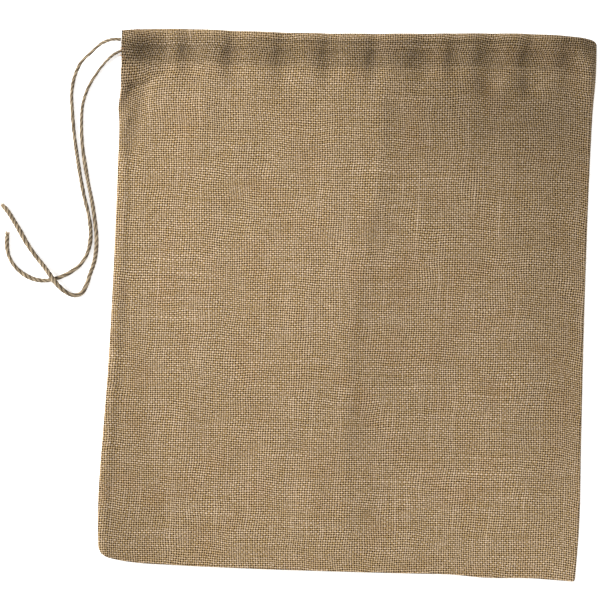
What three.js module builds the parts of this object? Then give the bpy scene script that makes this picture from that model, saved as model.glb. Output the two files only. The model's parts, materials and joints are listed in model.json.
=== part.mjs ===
// A drawstring pouch of jute hessian, lying flat and empty on its back.
// X runs across the bag, Y runs up towards the mouth, Z points away from the table. Millimetres.
// The cloth is one length folded down the right side (+X) and sewn down the left side and the bottom.
// A hem is turned in along the mouth as a casing, and one jute twine runs once round inside it:
// along the front, round the right-hand fold and back along the rear. Both ends leave on the left.
import * as THREE from 'three';

// Outline of the flat bag
const halfBottomWidth = 180.5;
const halfMouthWidth = 177.8;
const bottomY = -204.5;
const leftTopY = 196.5;
const rightTopY = 204.5;

// Cloth and cord
const cloth = 0.9;
const gap = 0.3;
const cordRadius = 1.4;
const cordSides = 8;
const tailSteps = 40;

// Heights above the table
const layTable = cordRadius + 0.05;
const backCordZ = cloth + gap + cordRadius;
const backFoldZ = backCordZ + cordRadius + gap;
const mouthGap = 4.8;
const frontFoldZ = backFoldZ + cloth + mouthGap;
const frontCordZ = frontFoldZ + cloth + gap + cordRadius;
const hemZ = frontCordZ + cordRadius + gap;
const edgeZ = cloth + gap;
const bodyZ = 9.4;

// Distances in from the edges of the front panel: the slope up from a seam, and the step up to the hem
const shoulder = { inset: 5, rise: 0.55 };
const slopeWidth = 14;
const hemRiseStart = 50;
const hemRiseEnd = 29;

// Casing, measured down from the mouth edge
const frontRunDown = 9;
const backRunDown = 17;
const stitchDown = 25;
const hemDepth = 28;
const foldNarrowing = [19.1, 22.1];
const foldRightEnd = 156;
const runRightEnd = 160;
const casingLeftEnd = -176;
const bendSteps = 8;

// Seams inside the left edge and the bottom edge
const stitchInset = 3.3;
const allowanceInset = [4.5, 12.5];
const allowanceThick = 2 * cloth;
const overlockInset = 13.2;
const thread = 0.8;
const threadHeight = 0.6;
const seamCornerGap = 17;
const seamTopGap = 38;

const jute = { color: 0x9c8667, roughness: 0.95, metalness: 0 };
const juteCord = { color: 0xa88f6c, roughness: 0.9, metalness: 0 };
const sewingThread = { color: 0xb09a76, roughness: 0.8, metalness: 0 };

const bag = new THREE.Group();

const mouthLength = Math.hypot(2 * halfMouthWidth, rightTopY - leftTopY);
const mouthTilt = Math.asin((rightTopY - leftTopY) / mouthLength);
const casing = new THREE.Group();
casing.position.set(0, (leftTopY + rightTopY) / 2, 0);
casing.rotation.z = mouthTilt;
bag.add(casing);

const sideHeight = leftTopY - bottomY;
const sideSeam = new THREE.Group();
sideSeam.position.set(-halfBottomWidth, bottomY, 0);
sideSeam.rotation.z = -Math.atan2(halfBottomWidth - halfMouthWidth, sideHeight);
bag.add(sideSeam);

const bottomSeam = new THREE.Group();
bottomSeam.position.set(0, bottomY, 0);
bag.add(bottomSeam);

function addMesh(group, name, geometry, look) {
  const mesh = new THREE.Mesh(geometry, new THREE.MeshStandardMaterial(look));
  mesh.name = name;
  group.add(mesh);
}

// Height of the bag's left and right edges, and of the mouth edge, at a share of the way up or across
const halfWidthAt = (up) => THREE.MathUtils.lerp(halfBottomWidth, halfMouthWidth, up);
const topYAt = (across) => THREE.MathUtils.lerp(leftTopY, rightTopY, across);

// How far the front panel has risen at a distance in from a sewn or folded edge, from 0 to 1
function riseFrom(distance) {
  if (distance < shoulder.inset) return (shoulder.rise * distance) / shoulder.inset;
  const past = (distance - shoulder.inset) / (slopeWidth - shoulder.inset);
  return Math.min(1, shoulder.rise + (1 - shoulder.rise) * past);
}

// Underside of the front panel. It stays up at the left end of the casing, which is open.
function frontUnderside(left, right, below, down) {
  const hem = THREE.MathUtils.clamp((hemRiseStart - down) / (hemRiseStart - hemRiseEnd), 0, 1);
  const crown = THREE.MathUtils.lerp(bodyZ, hemZ, hem);
  const leftRise = Math.max(riseFrom(left), hem);
  const rise = Math.min(leftRise, riseFrom(right), riseFrom(below));
  return THREE.MathUtils.lerp(edgeZ, crown, rise);
}

// A box whose grid lines are moved to chosen distances from the edges, then lifted to the front's height
function frontPanelGeometry() {
  const insets = [0, shoulder.inset, slopeWidth];
  const columns = [...insets, null, ...insets.toReversed()];
  const rows = [...insets, null, hemRiseStart, hemRiseEnd, 0];
  const geometry = new THREE.BoxGeometry(1, 1, 1, columns.length - 1, rows.length - 1, 1);
  const position = geometry.attributes.position;
  for (let i = 0; i < position.count; i++) {
    const column = Math.round((position.getX(i) + 0.5) * (columns.length - 1));
    const row = Math.round((position.getY(i) + 0.5) * (rows.length - 1));
    const { x, y, z } = frontPanelPoint(columns, column, rows, row);
    position.setXYZ(i, x, y, z + (position.getZ(i) > 0 ? cloth : 0));
  }
  return geometry;
}

function frontPanelPoint(columns, column, rows, row) {
  const width = 2 * halfBottomWidth;
  const middleColumn = (columns.length - 1) / 2;
  const inset = columns[column] ?? width / 2;
  const left = column <= middleColumn ? inset : width - inset;
  const across = left / width;
  const top = topYAt(across);
  const fromBottom = row < 3 ? rows[row] : (top - bottomY) / 2;
  const down = row > 3 ? rows[row] : top - bottomY - fromBottom;
  const y = top - down;
  const x = (2 * across - 1) * halfWidthAt((y - bottomY) / (top - bottomY));
  return { x, y, z: frontUnderside(left, width - left, top - bottomY - down, down) };
}

function backPanelGeometry() {
  const outline = new THREE.Shape([
    new THREE.Vector2(-halfBottomWidth, bottomY),
    new THREE.Vector2(halfBottomWidth, bottomY),
    new THREE.Vector2(halfMouthWidth, rightTopY),
    new THREE.Vector2(-halfMouthWidth, leftTopY),
  ]);
  return new THREE.ExtrudeGeometry(outline, { depth: cloth, bevelEnabled: false });
}

// The turned-in hem: flat against its panel at the stitch line, clear of the cord above it,
// and closed by the fold at the mouth edge. The section is drawn in Y and Z, then run along X.
function hemFoldGeometry(panelZ, foldZ) {
  const away = Math.sign(foldZ - panelZ);
  const inner = foldZ;
  const outer = foldZ + away * cloth;
  const flatInner = panelZ + away * gap;
  const flatOuter = flatInner + away * cloth;
  const [narrow, wide] = foldNarrowing;
  const section = [
    [-hemDepth, flatInner], [-wide, flatInner], [-narrow, inner], [-cloth, inner],
    [-cloth, flatInner], [0, flatInner], [0, outer], [-narrow - gap, outer],
    [-wide - gap, flatOuter], [-hemDepth, flatOuter],
  ];
  const shape = new THREE.Shape(section.map(([y, z]) => new THREE.Vector2(y, z)));
  const depth = foldRightEnd - casingLeftEnd;
  const geometry = new THREE.ExtrudeGeometry(shape, { depth, bevelEnabled: false });
  const yzAlongX = new THREE.Matrix4().makeBasis(
    new THREE.Vector3(0, 1, 0), new THREE.Vector3(0, 0, 1), new THREE.Vector3(1, 0, 0));
  return geometry.applyMatrix4(yzAlongX).translate(casingLeftEnd, 0, 0);
}

// A straight strip along Y or X of a seam's group, between two distances in from the edge
function stripGeometry(from, to, inner, outer, bottom, height, alongY) {
  const length = to - from;
  const width = outer - inner;
  const box = new THREE.BoxGeometry(alongY ? width : length, alongY ? length : width, height);
  const middle = (inner + outer) / 2;
  const centre = (from + to) / 2;
  return box.translate(alongY ? middle : centre, alongY ? centre : middle, bottom + height / 2);
}

// A curve that ExtrudeGeometry cuts exactly at the points it is given
class StationCurve extends THREE.Curve {
  constructor(stations) {
    super();
    this.stations = stations;
  }

  getPointAt(share) {
    return this.stations[Math.round(share * (this.stations.length - 1))].clone();
  }

  getTangentAt(share) {
    const last = this.stations.length - 1;
    const at = Math.round(share * last);
    const before = this.stations[Math.max(at - 1, 0)];
    return this.stations[Math.min(at + 1, last)].clone().sub(before).normalize();
  }
}

function cordGeometry(stations) {
  const corners = Array.from({ length: cordSides }, (_, i) => {
    const angle = ((i + 0.5) * 2 * Math.PI) / cordSides;
    return new THREE.Vector2(cordRadius * Math.cos(angle), cordRadius * Math.sin(angle));
  });
  return new THREE.ExtrudeGeometry(new THREE.Shape(corners), {
    steps: stations.length - 1,
    extrudePath: new StationCurve(stations),
    bevelEnabled: false,
  });
}

// Along the front casing, round a half circle at the right-hand fold, and back along the rear casing
function casingLoopStations() {
  const front = new THREE.Vector3(runRightEnd, -frontRunDown, frontCordZ);
  const back = new THREE.Vector3(runRightEnd, -backRunDown, backCordZ);
  const middle = front.clone().lerp(back, 0.5);
  const toFront = front.clone().sub(middle);
  const bend = Array.from({ length: bendSteps + 1 }, (_, i) => {
    const angle = (i * Math.PI) / bendSteps;
    return middle.clone()
      .addScaledVector(toFront, Math.cos(angle))
      .add(new THREE.Vector3(toFront.length() * Math.sin(angle), 0, 0));
  });
  const leftEnd = (point) => new THREE.Vector3(casingLeftEnd - 1, point.y, point.z);
  return [leftEnd(front), ...bend, leftEnd(back)];
}

function tailStations(route) {
  const curve = new THREE.CatmullRomCurve3(route.map((point) => new THREE.Vector3(...point)));
  return curve.getSpacedPoints(tailSteps);
}

// The free end from the front casing: down from the hem to the table, then a hook to the left
const frontTailRoute = [
  [-177.6, 187.6, frontCordZ], [-184, 187.3, 12.3], [-190.5, 185.6, 10.9], [-200, 179, 7.2],
  [-207.5, 170.5, 3.9], [-212, 161, 2.1], [-214, 149, layTable], [-213, 133, layTable],
  [-211, 117, layTable], [-208, 100, layTable], [-205, 85, layTable], [-201.5, 70, layTable],
  [-198, 58, layTable], [-196, 48, layTable], [-195.5, 37, layTable], [-198, 26, layTable],
  [-203, 18, layTable], [-210, 12.5, layTable], [-219, 8, layTable], [-229, 5.7, layTable],
  [-237, 6.5, layTable], [-244, 9.5, layTable], [-251, 15, layTable], [-256, 22.5, layTable],
  [-258, 31, layTable], [-258, 39, layTable],
];

// The free end from the rear casing: beside the other one, then over it in a low hump
const backTailRoute = [
  [-177.5, 179.6, backCordZ], [-184, 175.5, 2.3], [-190, 169.5, 1.8], [-196, 161.5, layTable],
  [-202, 151.5, layTable], [-205.3, 140, layTable], [-205.8, 124.5, layTable],
  [-204.5, 109, layTable], [-201.8, 94, layTable], [-198.5, 79, layTable],
  [-194.8, 63.5, layTable], [-192.2, 49, layTable], [-191, 40, layTable],
  [-190.8, 31, layTable], [-192, 21, layTable], [-195, 11, layTable], [-197.5, 2.5, layTable],
  [-201, -3, layTable], [-205, -4.5, 1.6], [-211, -3, 2.7], [-216, 0.7, 4.1],
  [-220.5, 5.2, 4.8], [-224.5, 10.5, 4.5], [-229, 16, 3.3], [-237, 25, 1.7],
  [-243, 33, layTable], [-248.5, 42, layTable], [-253.5, 49.5, layTable],
  [-257.5, 55.5, layTable], [-262, 60.5, layTable],
];

function addCloth() {
  addMesh(bag, 'back_panel', backPanelGeometry(), jute);
  addMesh(bag, 'front_panel', frontPanelGeometry(), jute);
  addMesh(casing, 'back_hem_fold', hemFoldGeometry(cloth, backFoldZ), jute);
  addMesh(casing, 'front_hem_fold', hemFoldGeometry(hemZ, frontFoldZ + cloth), jute);
}

// The raw edges, the line of stitches that holds them and the overlock round them, for one seam
function addSeam(group, name, from, to, alongY) {
  const strip = (inner, outer, height) =>
    stripGeometry(from, to, inner, outer, edgeZ, height, alongY);
  const around = (middle) => [middle - thread / 2, middle + thread / 2];
  addMesh(group, `${name}_seam_allowance`, strip(...allowanceInset, allowanceThick), jute);
  addMesh(group, `${name}_seam_stitching`, strip(...around(stitchInset), threadHeight), sewingThread);
  addMesh(group, `${name}_overlock`, strip(...around(overlockInset), allowanceThick), sewingThread);
}

function addHemStitching() {
  const bar = (to, bottom) => stripGeometry(casingLeftEnd + 2, to, -stitchDown - thread / 2,
    -stitchDown + thread / 2, bottom, threadHeight, false);
  const foldTop = cloth + gap + cloth;
  addMesh(casing, 'front_hem_stitching', bar(halfMouthWidth - slopeWidth - 3, hemZ + cloth + gap),
    sewingThread);
  addMesh(casing, 'back_hem_stitching', bar(foldRightEnd - 3, foldTop + gap), sewingThread);
}

// Locks the end of the side seam, just below the casing's open end
function addBarTack() {
  const tackLength = 6;
  const from = sideHeight - seamTopGap + gap;
  const tack = stripGeometry(from, from + thread, 1, 1 + tackLength, edgeZ, threadHeight, true);
  addMesh(sideSeam, 'exit_bar_tack', tack, sewingThread);
}

function addDrawstring() {
  addMesh(casing, 'drawstring_casing_loop', cordGeometry(casingLoopStations()), juteCord);
  addMesh(bag, 'drawstring_front_tail', cordGeometry(tailStations(frontTailRoute)), juteCord);
  addMesh(bag, 'drawstring_back_tail', cordGeometry(tailStations(backTailRoute)), juteCord);
}

addCloth();
addSeam(sideSeam, 'side', seamCornerGap, sideHeight - seamTopGap, true);
addSeam(bottomSeam, 'bottom', seamCornerGap - halfBottomWidth, halfBottomWidth - seamCornerGap, false);
addHemStitching();
addBarTack();
addDrawstring();

export default bag;
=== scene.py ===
"""A drawstring pouch of jute hessian, lying flat and empty, seen from straight above.

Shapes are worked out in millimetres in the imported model's frame: X across the bag, Y up to the mouth,
Z away from the table. Meshes are in metres. The cloth is drawn as two sheets that meet at the fold on
the right and at the seams on the left and at the bottom, and each goes over the mouth as a hem.
"""
import json
import math

import bpy
import numpy as np
from mathutils.bvhtree import BVHTree
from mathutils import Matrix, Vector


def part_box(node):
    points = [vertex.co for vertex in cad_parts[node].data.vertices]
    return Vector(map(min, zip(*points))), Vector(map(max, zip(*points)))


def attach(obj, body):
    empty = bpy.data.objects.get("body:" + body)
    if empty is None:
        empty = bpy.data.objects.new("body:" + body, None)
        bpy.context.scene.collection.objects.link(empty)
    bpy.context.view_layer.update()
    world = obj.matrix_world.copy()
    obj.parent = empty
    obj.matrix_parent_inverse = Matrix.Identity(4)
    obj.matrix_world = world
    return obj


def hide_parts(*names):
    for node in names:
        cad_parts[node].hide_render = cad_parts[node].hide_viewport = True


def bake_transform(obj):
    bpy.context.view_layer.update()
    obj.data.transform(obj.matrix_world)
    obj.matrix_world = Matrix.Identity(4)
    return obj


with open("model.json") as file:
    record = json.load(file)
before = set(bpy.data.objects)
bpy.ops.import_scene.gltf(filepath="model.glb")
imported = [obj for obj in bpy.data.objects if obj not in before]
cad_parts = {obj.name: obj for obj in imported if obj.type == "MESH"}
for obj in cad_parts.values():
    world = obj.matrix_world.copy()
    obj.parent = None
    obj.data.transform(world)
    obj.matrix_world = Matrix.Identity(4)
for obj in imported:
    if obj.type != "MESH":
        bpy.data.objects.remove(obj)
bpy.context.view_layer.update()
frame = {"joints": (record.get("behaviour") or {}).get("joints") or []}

MM = 0.001
SEED = 7


def node_box(node):
    """A CAD node's lowest and highest corners, in millimetres."""
    low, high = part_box(node)
    return np.array(low) / MM, np.array(high) / MM


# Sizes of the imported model, read from the frame where it tells them
BACK_LOW, BACK_HIGH = node_box("back_panel")
LOOP_LOW, LOOP_HIGH = node_box("drawstring_casing_loop")
FRONT_FOLD_LOW, _ = node_box("front_hem_fold")
CLOTH = BACK_HIGH[2]
CORD_RADIUS = 1.4
GAP = 0.3
HALF_WIDTH = BACK_HIGH[0]
BOTTOM_Y = BACK_LOW[1]
MOUTH_Y = BACK_HIGH[1]
FRONT_CORD_Z = LOOP_HIGH[2] - CORD_RADIUS
BACK_CORD_Z = LOOP_LOW[2] + CORD_RADIUS
FRONT_LINING_Z = FRONT_FOLD_LOW[2] + CLOTH / 2
BACK_LINING_Z = BACK_CORD_Z + CORD_RADIUS + GAP + CLOTH / 2

# The casing's own frame: along the mouth, up across it, and where it crosses the Y axis
CASING_AXIS = -np.array(frame["joints"][0]["axis"][:2])
ACROSS_CASING = np.array([-CASING_AXIS[1], CASING_AXIS[0]])
CASING_MIDDLE_Y = 200.5


# ---- camera, light and table

# How much the view takes in at SIGHT_HEIGHT above the table, its middle and its roll
VIEW_WIDTH = 448.4
VIEW_CENTRE = (-36.2, -1.05)
VIEW_ROLL = math.radians(2.35)
SIGHT_HEIGHT = 9.0
LENS = 100.0
SENSOR = 36.0

# Place and size in metres, power in watts, and colour
KEY_LIGHT = ((-1.40, 0.34, 0.92), 0.5, 40, (1.0, 0.985, 0.95))
FILL_LIGHT = ((0.45, -0.9, 0.7), 0.8, 3.5, (0.97, 0.985, 1.0))
ROOM_BRIGHTNESS = 0.5
TABLE_SIDE = 40
TABLE_WHITE = (0.93, 0.93, 0.93, 1)
TABLE_GLOW = 0.55
WHITE = (1, 1, 1, 1)


def put(name, data):
    """Adds an object to the scene."""
    thing = bpy.data.objects.new(name, data)
    bpy.context.collection.objects.link(thing)
    return thing


def add_camera():
    """Looks straight down from where it sees VIEW_WIDTH across."""
    data = bpy.data.cameras.new("camera")
    data.lens = LENS
    data.sensor_width = SENSOR
    camera = put("camera", data)
    distance = VIEW_WIDTH * LENS / SENSOR + SIGHT_HEIGHT
    camera.location = (VIEW_CENTRE[0] * MM, VIEW_CENTRE[1] * MM, distance * MM)
    camera.rotation_euler = (0, 0, VIEW_ROLL)
    bpy.context.scene.camera = camera


def add_area_light(name, location, size, power, colour):
    """A round lamp that points at the frame's origin."""
    data = bpy.data.lights.new(name, "AREA")
    data.shape = "DISK"
    data.size = size
    data.energy = power
    data.color = colour
    light = put(name, data)
    light.location = location
    x, y, z = location
    light.rotation_euler = (math.atan2(math.hypot(x, y), z), 0, math.atan2(-x, y) + math.pi)


def add_lights():
    """A soft key from the left, a weak fill from the bottom right, and a bright white room."""
    add_area_light("key", *KEY_LIGHT)
    add_area_light("fill", *FILL_LIGHT)
    world = bpy.data.worlds.new("room")
    world.use_nodes = True
    background = world.node_tree.nodes["Background"]
    background.inputs["Color"].default_value = WHITE
    background.inputs["Strength"].default_value = ROOM_BRIGHTNESS
    bpy.context.scene.world = world


def add_table():
    """A white table, lit a little from within, so that shadows on it stay pale."""
    bpy.ops.mesh.primitive_plane_add(size=TABLE_SIDE)
    table = bpy.context.object
    table.name = "table"
    shader = Shader("pale_table")
    shader.surface.inputs["Emission Color"].default_value = WHITE
    shader.surface.inputs["Emission Strength"].default_value = TABLE_GLOW
    table.data.materials.append(shader.finish(TABLE_WHITE, roughness=0.9))


# ---- meshes and curves in numpy


def spline(knots):
    """A smooth function through (place, value) pairs, level beyond the first and the last."""
    at, value = np.array(knots, float).T
    slope = np.gradient(value, at)

    def evaluate(x):
        x = np.clip(x, at[0], at[-1])
        i = np.clip(np.searchsorted(at, x) - 1, 0, len(at) - 2)
        step = at[i + 1] - at[i]
        t = (x - at[i]) / step
        return (
            (2 * t**3 - 3 * t**2 + 1) * value[i]
            + (t**3 - 2 * t**2 + t) * step * slope[i]
            + (-2 * t**3 + 3 * t**2) * value[i + 1]
            + (t**3 - t**2) * step * slope[i + 1]
        )

    return evaluate


def smooth(x, low, high):
    """0 at low, 1 at high, level at both ends."""
    t = np.clip((x - low) / (high - low), 0, 1)
    return t * t * (3 - 2 * t)


def bump(x, centre, width, width_after=None):
    """1 at the centre, falling away over the width, which may differ on the far side."""
    if width_after is not None:
        width = np.where(x < centre, width, width_after)
    return np.exp(-(((x - centre) / width) ** 2))


def mix(a, b, share):
    return a + (b - a) * share


def unit(vectors):
    return vectors / np.linalg.norm(vectors, axis=-1, keepdims=True)


def smooth_max(a, b, softness):
    """The larger of two surfaces, with the edge between them rounded."""
    return (a + b + np.sqrt((a - b) ** 2 + softness**2)) / 2


def new_piece(name, vertices, face_groups, material, threads=None):
    """A smooth-shaded mesh object from vertices in millimetres and arrays of faces.

    threads is each vertex's place in the weave or on the cord, which the material reads.
    """
    corners = np.concatenate([faces.ravel() for faces in face_groups])
    sizes = np.repeat([faces.shape[1] for faces in face_groups], [len(faces) for faces in face_groups])
    mesh = bpy.data.meshes.new(name)
    mesh.vertices.add(len(vertices))
    mesh.vertices.foreach_set("co", (vertices * MM).astype(np.float32).ravel())
    mesh.loops.add(len(corners))
    mesh.loops.foreach_set("vertex_index", corners.astype(np.int32))
    mesh.polygons.add(len(sizes))
    mesh.polygons.foreach_set("loop_start", (np.cumsum(sizes) - sizes).astype(np.int32))
    mesh.polygons.foreach_set("use_smooth", np.ones(len(sizes), bool))
    mesh.update(calc_edges=True)
    mesh.validate()
    if threads is not None:
        attribute = mesh.attributes.new("threads", "FLOAT_VECTOR", "POINT")
        attribute.data.foreach_set("vector", np.asarray(threads, np.float32).ravel())
    mesh.materials.append(material)
    return put(name, mesh)


def grid_faces(rows, columns, start=0):
    """Quads between neighbouring points of a grid whose points are numbered row by row."""
    row, column = np.mgrid[0 : rows - 1, 0 : columns - 1]
    corner = (start + row * columns + column).ravel()
    return np.stack([corner, corner + 1, corner + columns + 1, corner + columns], axis=1)


def grid_normals(points):
    return unit(np.cross(np.gradient(points, axis=1), np.gradient(points, axis=0)))


def rim_faces(rows, columns):
    """Quads that close the edge between a sheet's two faces, which follow each other in the list."""
    index = np.arange(rows * columns).reshape(rows, columns)
    loop = np.concatenate([index[0, :-1], index[:-1, -1], index[-1, :0:-1], index[:0:-1, 0]])
    after = np.roll(loop, -1)
    other = rows * columns
    return np.stack([loop, loop + other, after + other, after], axis=1)


def lengths_from_middle(points, axis):
    """Distance of each grid point from the middle of its own row or column, in millimetres."""
    step = np.linalg.norm(np.diff(points, axis=axis), axis=2)
    before = [(0, 0), (0, 0)]
    before[axis] = (1, 0)
    total = np.cumsum(np.pad(step, before), axis=axis)
    middle = points.shape[axis] // 2
    return total - np.take(total, [middle], axis=axis)


WARP_PITCH = 1.76
WEFT_PITCH = 1.67

# The yarns that run across the bag slant at the side seam: by how many yarns, where and how far
SLANT = 5.0
SLANT_PLACE = (-178, 146)
SLANT_REACH = (17, 26)


def sheet_arrays(points, tone, thickness=CLOTH):
    """Vertices, faces and places in the weave of a sheet, half its thickness each side of a grid."""
    rows, columns = points.shape[:2]
    normal = grid_normals(points)
    over = points + normal * thickness / 2
    under = points - normal * thickness / 2
    warp = lengths_from_middle(points, 1) / WARP_PITCH
    weft = lengths_from_middle(points, 0) / WEFT_PITCH
    slant = bump(points[..., :2], SLANT_PLACE, SLANT_REACH).prod(axis=2)
    weft = weft + SLANT * slant
    threads = np.stack([warp, weft, np.broadcast_to(tone, warp.shape)], axis=2).reshape(-1, 3)
    top = grid_faces(rows, columns)
    bottom = grid_faces(rows, columns, rows * columns)[:, ::-1]
    faces = np.concatenate([top, bottom, rim_faces(rows, columns)])
    vertices = np.concatenate([over.reshape(-1, 3), under.reshape(-1, 3)])
    return vertices, faces, np.concatenate([threads, threads])


def transport_frames(path, first_normal):
    """Two cross directions at each point of a path, turned as little as possible."""
    tangent = unit(np.gradient(path, axis=0))
    normal = np.empty_like(path)
    current = np.array(first_normal, float)
    for i, direction in enumerate(tangent):
        current = unit(current - direction * current.dot(direction))
        normal[i] = current
    return normal, np.cross(tangent, normal)


def tube_arrays(path, radii, sides, first_normal=(0, 0, 1)):
    """Vertices, quads and end triangles of a closed tube round a path.

    radii is one number for each point, or for each point and side.
    """
    path = np.asarray(path, float)
    normal, across = transport_frames(path, first_normal)
    angle = np.arange(sides) * 2 * math.pi / sides
    radii = np.asarray(radii, float)
    if radii.ndim < 2:
        radii = radii.reshape(-1, 1)
    ring = normal[:, None] * np.cos(angle)[:, None] + across[:, None] * np.sin(angle)[:, None]
    surface = (path[:, None] + ring * radii[..., None]).reshape(-1, 3)
    vertices = np.concatenate([surface, path[:1], path[-1:]])
    step, side = np.mgrid[0 : len(path) - 1, 0:sides]
    here = (step * sides + side).ravel()
    beside = (step * sides + (side + 1) % sides).ravel()
    quads = np.stack([here, beside, beside + sides, here + sides], axis=1)
    side = np.arange(sides)
    after = (side + 1) % sides
    base = (len(path) - 1) * sides
    start_cap = np.stack([np.full(sides, len(surface)), after, side], axis=1)
    end_cap = np.stack([np.full(sides, len(surface) + 1), base + side, base + after], axis=1)
    return vertices, quads, np.concatenate([start_cap, end_cap])


def distances(points):
    """How far along the route each of its points lies."""
    return np.concatenate([[0], np.cumsum(np.linalg.norm(np.diff(points, axis=0), axis=1))])


def spaced(points, step):
    """The same route with a point every step, or a little less."""
    points = np.asarray(points, float)
    along = distances(points)
    at = np.linspace(0, along[-1], max(2, int(along[-1] / step) + 1))
    return np.stack([np.interp(at, along, points[:, axis]) for axis in range(3)], axis=1)


FINE_STEPS = 4000


def rounded_route(points, step):
    """A smooth curve through the route's points, with a point about every step."""
    points = np.asarray(points, float)
    along = distances(points)
    fine = np.linspace(0, along[-1], FINE_STEPS)
    curve = [spline(np.stack([along, points[:, axis]], axis=1))(fine) for axis in range(3)]
    return spaced(np.stack(curve, axis=1), step)


class Threads:
    """Collects many small closed tubes into one mesh."""

    def __init__(self):
        self.vertices, self.quads, self.triangles, self.count = [], [], [], 0

    def add(self, path, radii, sides=6, first_normal=(0, 0, 1)):
        vertices, quads, triangles = tube_arrays(path, radii, sides, first_normal)
        self.vertices.append(vertices)
        self.quads.append(quads + self.count)
        self.triangles.append(triangles + self.count)
        self.count += len(vertices)

    def piece(self, name, material):
        groups = [np.concatenate(self.quads), np.concatenate(self.triangles)]
        return new_piece(name, np.concatenate(self.vertices), groups, material)


# ---- materials


class Value:
    """An output in a material's node tree, which takes ordinary arithmetic."""

    def __init__(self, shader, socket):
        self.shader, self.socket = shader, socket

    def __add__(self, other):
        return self.shader.math("ADD", self, other)

    def __sub__(self, other):
        return self.shader.math("SUBTRACT", self, other)

    def __rsub__(self, other):
        return self.shader.math("SUBTRACT", other, self)

    def __mul__(self, other):
        return self.shader.math("MULTIPLY", self, other)

    def __truediv__(self, other):
        return self.shader.math("DIVIDE", self, other)


class Shader:
    """A short way to write a material's nodes."""

    def __init__(self, name):
        self.material = bpy.data.materials.new(name)
        self.material.use_nodes = True
        self.nodes = self.material.node_tree.nodes
        self.surface = self.nodes["Principled BSDF"]

    def feed(self, socket, value):
        if isinstance(value, Value):
            self.material.node_tree.links.new(value.socket, socket)
        else:
            socket.default_value = value

    def node(self, kind, inputs, output=0, **settings):
        """Adds a node with these settings and inputs, and returns one of its outputs."""
        node = self.nodes.new("ShaderNode" + kind)
        for name, setting in settings.items():
            setattr(node, name, setting)
        for key, value in inputs.items():
            self.feed(node.inputs[key], value)
        return Value(self, node.outputs[output])

    def math(self, operation, *values):
        return self.node("Math", dict(enumerate(values)), operation=operation)

    def between(self, a, b, share):
        """The number a where share is 0, and b where it is 1."""
        return self.node("Mix", {"Factor": share, "A": a, "B": b}, "Result", data_type="FLOAT")

    def colour_between(self, a, b, share, blend="MIX"):
        inputs = {"Factor": share, "A": a, "B": b}
        return self.node("Mix", inputs, "Result", data_type="RGBA", blend_type=blend)

    def vector(self, x, y, z=0.0):
        return self.node("CombineXYZ", {"X": x, "Y": y, "Z": z})

    def attribute(self, name):
        """The three numbers of an attribute."""
        split = self.nodes.new("ShaderNodeSeparateXYZ")
        self.feed(split.inputs[0], self.node("Attribute", {}, "Vector", attribute_name=name))
        return [Value(self, output) for output in split.outputs]

    def noise(self, *place, scale=1.0, detail=2.0):
        """Smooth noise at x, y and perhaps z, which only keeps it unlike other noises, or at one output."""
        vector = place[0] if len(place) == 1 else self.vector(*place)
        return self.node("TexNoise", {"Vector": vector, "Scale": scale, "Detail": detail}, "Fac")

    def chance(self, x, y):
        """A random number from 0 to 1 for each whole x and y."""
        return self.node("TexWhiteNoise", {"Vector": self.vector(x, y)}, "Value", noise_dimensions="2D")

    def ramp(self, value, low, high):
        """0 where value is at low, 1 where it is at high."""
        return self.node("MapRange", {"Value": value, "From Min": low, "From Max": high}, "Result")

    def relief(self, height, distance, strength=1.0):
        """Tilts the surface for the light as if it stood out by the height, over a distance in metres."""
        inputs = {"Distance": distance, "Strength": strength, "Height": height}
        self.feed(self.surface.inputs["Normal"], self.node("Bump", inputs, "Normal"))

    def finish(self, colour, roughness, specular=None):
        """Sets the look of the whole surface and returns the material."""
        self.feed(self.surface.inputs["Base Color"], colour)
        self.surface.inputs["Roughness"].default_value = roughness
        if specular is not None:
            self.surface.inputs["Specular IOR Level"].default_value = specular
        return self.material


# Painted shade: the first colour is the near black of the holes between the yarns, where the inside of the
# bag lies in shade
HOLE_PAINTED_SHADE = (0.008, 0.0038, 0.0011, 1)
# Painted shade: the dark brown of the yarns' flanks, where the yarns shade each other
FLANK_PAINTED_SHADE = (0.060, 0.030, 0.0075, 1)
JUTE_MID = (0.455, 0.320, 0.160, 1)
JUTE_PALE = (0.700, 0.548, 0.412, 1)
JUTE_RUSTY = (0.400, 0.215, 0.095, 1)
# A warm tint for the painted shade on the yarns' flanks
FLANK_PAINTED_SHADE_TINT = (1.0, 0.87, 0.55, 1)

# A yarn's half width, how much wider its slubs are and how far it wanders, as shares of the pitch
HALF_WIDTHS = (0.18, 0.38)
SLUB_WIDTH = 0.10
SLUB_RANGE = (0.66, 0.8)
WANDER = 0.36
# How fast a yarn's width, place and tone change, for each yarn that it crosses
WIDTH_RATE, WANDER_RATE, TONE_RATE = 0.5, 0.4, 0.022
# Far enough apart in the noise that neighbouring yarns have nothing in common
LANE = 7.31
OTHER_SET = 500.0
# How far whole groups of yarns drift, and over how many yarns: one over DRIFT_RATE
DRIFT, DRIFT_RATE = 3.0, 0.05
FIBRE_RATE = 8.0
# What makes a yarn pale: chance at the crossing, its own slow change and its fibres; and painted shade that
# darkens the set that runs up the bag, for the way the light falls on it
CROSSING_SHARE, TONE_SHARE, FIBRE_SHARE, UP_SET_PAINTED_SHADE = 0.30, 1.0, 0.4, 0.38
PALE_RANGE = (0.335, 1.075)
RUST_RATE, RUST_RANGE, RUST_SHARE = 0.06, (0.5, 0.75), 0.22
# The heights over which painted shade darkens a yarn from its flank to its top, and those of the holes
# between the yarns, which are painted near black as shade
SHADE_RANGE, SHADE_POWER = (-0.25, 0.85), 1.3
HOLE_HEIGHT, HOLE_FLOOR = -0.9, -0.6
WEAVE_RELIEF, FIBRE_RELIEF = 0.0005, 0.3


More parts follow.
